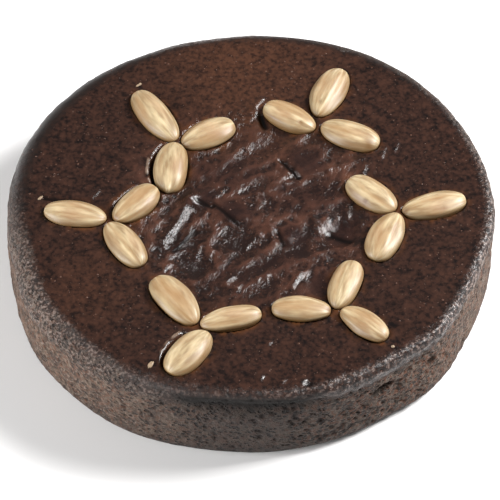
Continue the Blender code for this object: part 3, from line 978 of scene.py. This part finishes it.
def crumb_colour(add, place, kept, noises):
    """Grey-brown crumb of the side that stood in the tin, and how open its pits are."""
    tone = add(RANGE, noises["broad"], 0.38, 0.62)
    reds = add(RANGE, noises["reds"], 0.49, 0.58, 0.0, 0.55)
    more = add(RANGE, kept["coarse"], 0.0, 1.0, 1.0, 2.0)
    reds = add(TIMES, reds, more)
    light = add(RANGE, noises["grains"], 0.53, 0.70)
    flat = add("ShaderNodeMapping", {"Vector": place, "Scale": (1.0, 1.0, PIT_FLATNESS)})
    pits = add("ShaderNodeTexVoronoi", {"Vector": flat, "Scale": 1.0 / PIT_SPACING}, out="Distance")
    pits = add(RANGE, pits, 0.45, 0.25)
    clusters = add(RANGE, noises["clusters"], 0.32, 0.54)
    clusters = add(MATH, clusters, kept["coarse"], operation="MAXIMUM")
    pits = add(TIMES, pits, clusters)
    pits = add(MATH, pits, kept["pore"], operation="MAXIMUM")
    # Painted shade in the pits and pores, deepest at the front
    dark = add(RANGE, kept["front_shade"], 0.0, 0.7, 0.45, 1.0)
    dark = add(TIMES, pits, dark)
    # Painted shade over the front of the side
    front_shade = add(TIMES, kept["front_shade"], 0.8)
    # Painted shade towards the foot
    foot = add(RANGE, kept["level"], 0.22, 0.06, 0.0, 0.5)
    colour = linear("3e322b")
    for share, shade in (
        (tone, "6b5a4d"), (reds, "6b4430"), (light, "857368"),
        (dark, "120c0a"), (front_shade, "292321"), (foot, "33302f"),
    ):
        colour = add(MIX, {0: share, 6: colour, 7: linear(shade)}, out=2, data_type="RGBA")
    return colour, pits


def honey_glazed_crust(add, mesh):
    """Dark honey cake brushed with a sugar and honey glaze, its side from the tin left bare.
    The glaze gives deep red-brown with small hard glints, the side a dull grey-brown crumb."""
    place = add("ShaderNodeTexCoord", out="Object")
    names = [item.name for item in mesh.attributes if item.data_type == "FLOAT"]
    kept = {name: add(KEPT, attribute_name=name, out="Fac") for name in names}
    noises = {}
    for name, width, detail, rough in CRUST_NOISES:
        settings = {"Vector": place, "Scale": 1.0 / width, "Detail": detail, "Roughness": rough}
        noises[name] = add(NOISE, settings)
    glaze = glaze_colour(add, kept, noises)
    side, pits = crumb_colour(add, place, kept, noises)

    ragged = add(RANGE, noises["ragged"], 0.3, 0.7, -0.6, 0.6)
    edge = add(TIMES_PLUS, kept["glaze"], 2.0, ragged)
    covered = add(RANGE, edge, 0.1, 1.4)
    # Painted sparkle: pale grains along the rim, in patches
    rim_sparkle = add(RANGE, kept["rim"], 0.35, 1.0)
    patchy = add(RANGE, ragged, -0.35, 0.25, 0.3, 1.0)
    rim_sparkle = add(TIMES, rim_sparkle, patchy)
    pale = add(RANGE, noises["grains"], 0.51, 0.62, 0.0, 0.7)
    pale = add(TIMES, pale, rim_sparkle)
    burnt = add(RANGE, noises["grains"], 0.48, 0.41, 0.0, 0.85)
    burnt = add(TIMES, burnt, kept["rim"])
    # Painted shade: a dark band along the groove under the front rim, and over the calmer rim away from
    # the front
    groove = add(RANGE, kept["groove"], 0.0, 0.65)
    shaded = add(RANGE, kept["front_shade"], 0.0, 0.6, 0.75, 0.0)
    shaded = add(TIMES, kept["calmer"], shaded)
    shaded = add(MATH, groove, shaded, operation="MAXIMUM")
    colour = add(MIX, {0: covered, 6: side, 7: glaze}, out=2, data_type="RGBA")
    for share, shade in ((pale, "96857d"), (burnt, "120c0a"), (shaded, "14100e")):
        colour = add(MIX, {0: share, 6: colour, 7: linear(shade)}, out=2, data_type="RGBA")

    gloss = add(RANGE, kept["middle"], 0.0, 1.0, 0.21, 0.17)
    gloss = add(TIMES_PLUS, kept["calmer"], 0.24, gloss)
    gloss = add(TIMES_PLUS, kept["rim"], -0.06, gloss)
    thinned = add(RANGE, kept["glaze"], 0.8, 0.3, 0.0, 0.4)
    gloss = add(MATH, gloss, thinned, operation="ADD")
    roughness = add(RANGE, kept["rim"], 0.0, 1.0, 0.80, 0.20)
    for share, finish in ((covered, gloss), (groove, 1.0), (burnt, 0.75)):
        roughness = add(MIX, {0: share, 2: roughness, 3: finish})

    run = {"Vector": place, "Rotation": (0.0, 0.0, CREASE_TURN), "Scale": (CREASE_STRETCH, 1.0, 1.0)}
    turned = add("ShaderNodeMapping", run, vector_type="TEXTURE")
    finest = {"Vector": turned, "Scale": 1.0 / CREASE_WIDTH, "Detail": 3.0, "Roughness": 0.6}
    creases = add(NOISE, finest)
    creases = add(MATH, creases, 0.5, operation="SUBTRACT")
    creases = add(MATH, creases, operation="ABSOLUTE")
    calm = add(RANGE, kept["hollow"], 0.0, 1.0, -1.0, -0.2)
    wrinkled = add(RANGE, kept["middle"], 0.0, 1.0, 0.12, 1.0)
    wrinkled = add(TIMES, wrinkled, calm)
    creases = add(TIMES, creases, wrinkled)
    crease_bump = add(BUMP, {"Height": creases, "Distance": CREASE_DEPTH})
    depth = add(RANGE, kept["rim"], 0.0, 1.0, 0.09 * MM, 0.24 * MM)
    skin = add(TIMES, noises["skin"], depth)
    skin_bump = add(BUMP, {"Height": skin, "Distance": 1.0, "Normal": crease_bump})
    bare = add(MATH, 1.0, covered, operation="SUBTRACT")
    bare = add(TIMES_PLUS, kept["coarse"], bare, bare)
    pocked = add(TIMES_PLUS, pits, -1.6, noises["skin"])
    pocked = add(TIMES, pocked, bare)
    crumb_bump = add(BUMP, {"Height": pocked, "Distance": 0.5 * MM, "Normal": skin_bump})
    return {"Base Color": colour, "Roughness": roughness, "IOR": 1.43, "Normal": crumb_bump}


def blanched_almond(add):
    """Scalded and peeled almond: ivory to honey-pink, satin, with soft lengthwise grain and
    light that sinks in a little."""
    skin = add(KEPT, attribute_name="skin", out="Vector")
    run = add(SPLIT, skin)
    names = ("seed", "grooves", "mark")
    seed, grooves, mark = [add(KEPT, attribute_name=name, out="Fac") for name in names]
    shift = add(JOIN, seed, seed, 2.0)
    own = add(VECTOR, skin, shift, operation="ADD")
    grain = add(NOISE, {"Vector": own, "Scale": 3.0, "Detail": 3.0})
    cloud = add(NOISE, {"Vector": own, "Scale": 1.3, "Detail": 1.0})
    tone = add(RANGE, grain, 0.35, 0.65)
    fore = add(RANGE, run, 0.15, 0.50)
    aft = add(RANGE, run, 0.95, 0.60)
    middle = add(TIMES, fore, aft)
    tint = add(RANGE, cloud, 0.38, 0.62, 0.0, 0.48)
    tint = add(TIMES, middle, tint)
    dark_tip = add(RANGE, run, 0.08, 0.0, 0.0, 0.5)
    # Painted shade in the lengthwise grooves
    groove_shade = add(RANGE, grooves, 0.48, 0.64, 0.0, 0.6)
    # Darker from the top down the flanks: painted shade, and glaze soaked into the lowest flank
    soak_and_shade = add(RANGE, run.node.outputs["Z"], 0.92, -0.15, 0.0, 0.95)
    colour = linear("957d5c")
    for share, shade in (
        (tone, "c9b692"), (tint, "a17a58"), (dark_tip, "76532f"),
        (groove_shade, "9b7850"), (soak_and_shade, "6c4f2a"), (mark, "6e4a22"),
    ):
        colour = add(MIX, {0: share, 6: colour, 7: linear(shade)}, out=2, data_type="RGBA")
    return {
        "Base Color": colour,
        "Roughness": 0.45,
        "IOR": 1.50,
        "Subsurface Weight": 0.15,
        "Subsurface Radius": (1.0, 0.6, 0.35),
        "Subsurface Scale": 1.4 * MM,
        "Normal": add(BUMP, {"Height": grain, "Distance": 0.12 * MM, "Strength": 0.5}),
    }


def mottled(add, dark, light, grain):
    """Two shades of one stuff, mottled together as widely as its grain."""
    place = add("ShaderNodeTexCoord", out="Object")
    tone = add(NOISE, {"Vector": place, "Scale": 1.0 / grain, "Detail": 2.0})
    return add(MIX, {0: tone, 6: linear(dark), 7: linear(light)}, out=2, data_type="RGBA")


def glaze_blister(add):
    """Bubbles of boiled honey glaze, set hard: brown, clear-skinned and shiny, so each has a glint."""
    return {"Base Color": mottled(add, "2a1712", "6e4c3c", 3 * MM), "Roughness": 0.28, "IOR": 1.45}


def pale_crumb(add):
    """Dried sugar and almond skin that stuck in the glaze: cream, half gloss."""
    return {"Base Color": mottled(add, "77634f", "b09a80", 1 * MM), "Roughness": 0.4, "IOR": 1.45}


def pale_card(add):
    """Matt white card under the cake."""
    return {"Base Color": linear("f4f3f2"), "Roughness": 0.9}


def make_floor():
    """A plain pale floor, far wider than the view."""
    corners = [(-1, -1, 0), (1, -1, 0), (1, 1, 0), (-1, 1, 0)]
    mesh = bpy.data.meshes.new("floor")
    mesh.from_pydata([FLOOR_REACH * Vector(corner) for corner in corners], [], [(0, 1, 2, 3)])
    mesh.materials.append(make_material(pale_card))
    link_piece("floor", mesh)


def make_camera():
    """The camera of the photograph's viewing angle."""
    lift = math.radians(CAMERA_ELEVATION)
    back = Vector((0.0, -math.cos(lift), math.sin(lift)))
    right = Vector((1.0, 0.0, 0.0))
    target = Vector((0.0, 0.0, CAMERA_TARGET_LEVEL))
    spot = target + back * CAMERA_DISTANCE
    aim = target + right * CAMERA_ASIDE - back.cross(right) * CAMERA_BELOW
    data = bpy.data.cameras.new("camera")
    data.lens = CAMERA_LENS
    data.sensor_width = SENSOR_WIDTH
    data.clip_start, data.clip_end = CAMERA_CLIPS
    camera = link_piece("camera", data)
    camera.location = spot
    camera.rotation_euler = (aim - spot).to_track_quat("-Z", "Y").to_euler()
    bpy.context.scene.camera = camera


def soft_light(name, place, aim, width, height, power):
    """A soft box of the studio, turned to what it lights."""
    data = bpy.data.lights.new(name, "AREA")
    data.shape = "RECTANGLE"
    data.size = width
    data.size_y = height
    data.energy = power
    light = link_piece(name, data)
    light.location = place
    light.rotation_euler = (Vector(aim) - Vector(place)).to_track_quat("-Z", "Y").to_euler()


def make_lights():
    """A key box at the back right, a broad weaker one at the front left, and pale air."""
    for light in SOFT_LIGHTS:
        soft_light(*light)
    world = bpy.data.worlds.new("studio")
    world.use_nodes = True
    air = world.node_tree.nodes["Background"].inputs
    air["Color"].default_value = linear("fbfbff")
    air["Strength"].default_value = AIR_STRENGTH
    bpy.context.scene.world = world
    bpy.context.scene.view_settings.view_transform = "Standard"


def ride_and_replace(piece, slot, *nodes):
    """The piece rides on the part's one body, and stands for its nodes."""
    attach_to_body(piece, "root")
    if nodes:
        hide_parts(*nodes)


def make_blisters(cake, almonds):
    """Blisters over the open glaze, clear of the almonds."""
    base = cake.data.copy()
    x, y, _ = mesh_points(base).T
    cover = np.empty(len(base.vertices), dtype=np.float32)
    base.attributes["glaze"].data.foreach_get("value", cover)
    for almond in almonds:
        cover *= almond.outside(x, y) > BLISTER_CLEAR
    attach(base, "cover", cover * (cover > 0.5))
    tree = blister_tree(make_material(glaze_blister))
    values = {"How many": BLISTERS, "Largest radius": BLISTER_RADIUS}
    return link_piece("glaze_blisters", grown_mesh(tree, values, "glaze_blisters", base))


def make_crumbs(cake):
    """The pale crumbs, each a small uneven lump half sunk in the glaze below it."""
    surface = mesh_points(cake.data)
    surface = surface[surface[:, 2] > HEIGHT / 2.0]
    lumps = bmesh.new()
    for x, y, length, width, height, heading in PALE_CRUMBS:
        nearest = np.argmin(np.hypot(surface[:, 0] - x * MM, surface[:, 1] - y * MM))
        size = Matrix.Diagonal((length * MM / 2.0, width * MM / 2.0, height * MM / 2.0, 1.0))
        turn = Matrix.Rotation(math.radians(heading), 4, "Z")
        spot = Matrix.Translation((x * MM, y * MM, surface[nearest, 2] + height * MM * CRUMB_RISE))
        made = bmesh.ops.create_icosphere(lumps, subdivisions=3, radius=1.0)
        for corner in made["verts"]:
            lump = 1.0 + CRUMB_LUMP * noise.noise(corner.co * CRUMB_LUMP_SCALE + Vector((x, y, 0.0)))
            corner.co = spot @ turn @ size @ (corner.co * lump)
    mesh = bpy.data.meshes.new("pale_crumbs")
    lumps.to_mesh(mesh)
    lumps.free()
    mesh.shade_smooth()
    mesh.materials.append(make_material(pale_crumb))
    return link_piece("pale_crumbs", mesh)


def main():
    almonds = [
        AlmondPlace(node) for name, node in sorted(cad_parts.items()) if name.startswith("almond_")
    ]
    cake = make_cake(almonds)
    cake.data.materials.append(make_material(honey_glazed_crust, cake.data))
    ride_and_replace(cake, "glazed_crust", "cake")
    ride_and_replace(make_blisters(cake, almonds), "glazed_crust")
    ride_and_replace(make_crumbs(cake), "glazed_crust")
    tree = almond_tree(make_material(blanched_almond))
    for index, place in enumerate(almonds, start=1):
        ride_and_replace(make_almond(place, index, tree), "blanched_almond", place.name)
    make_floor()
    make_camera()
    make_lights()


main()
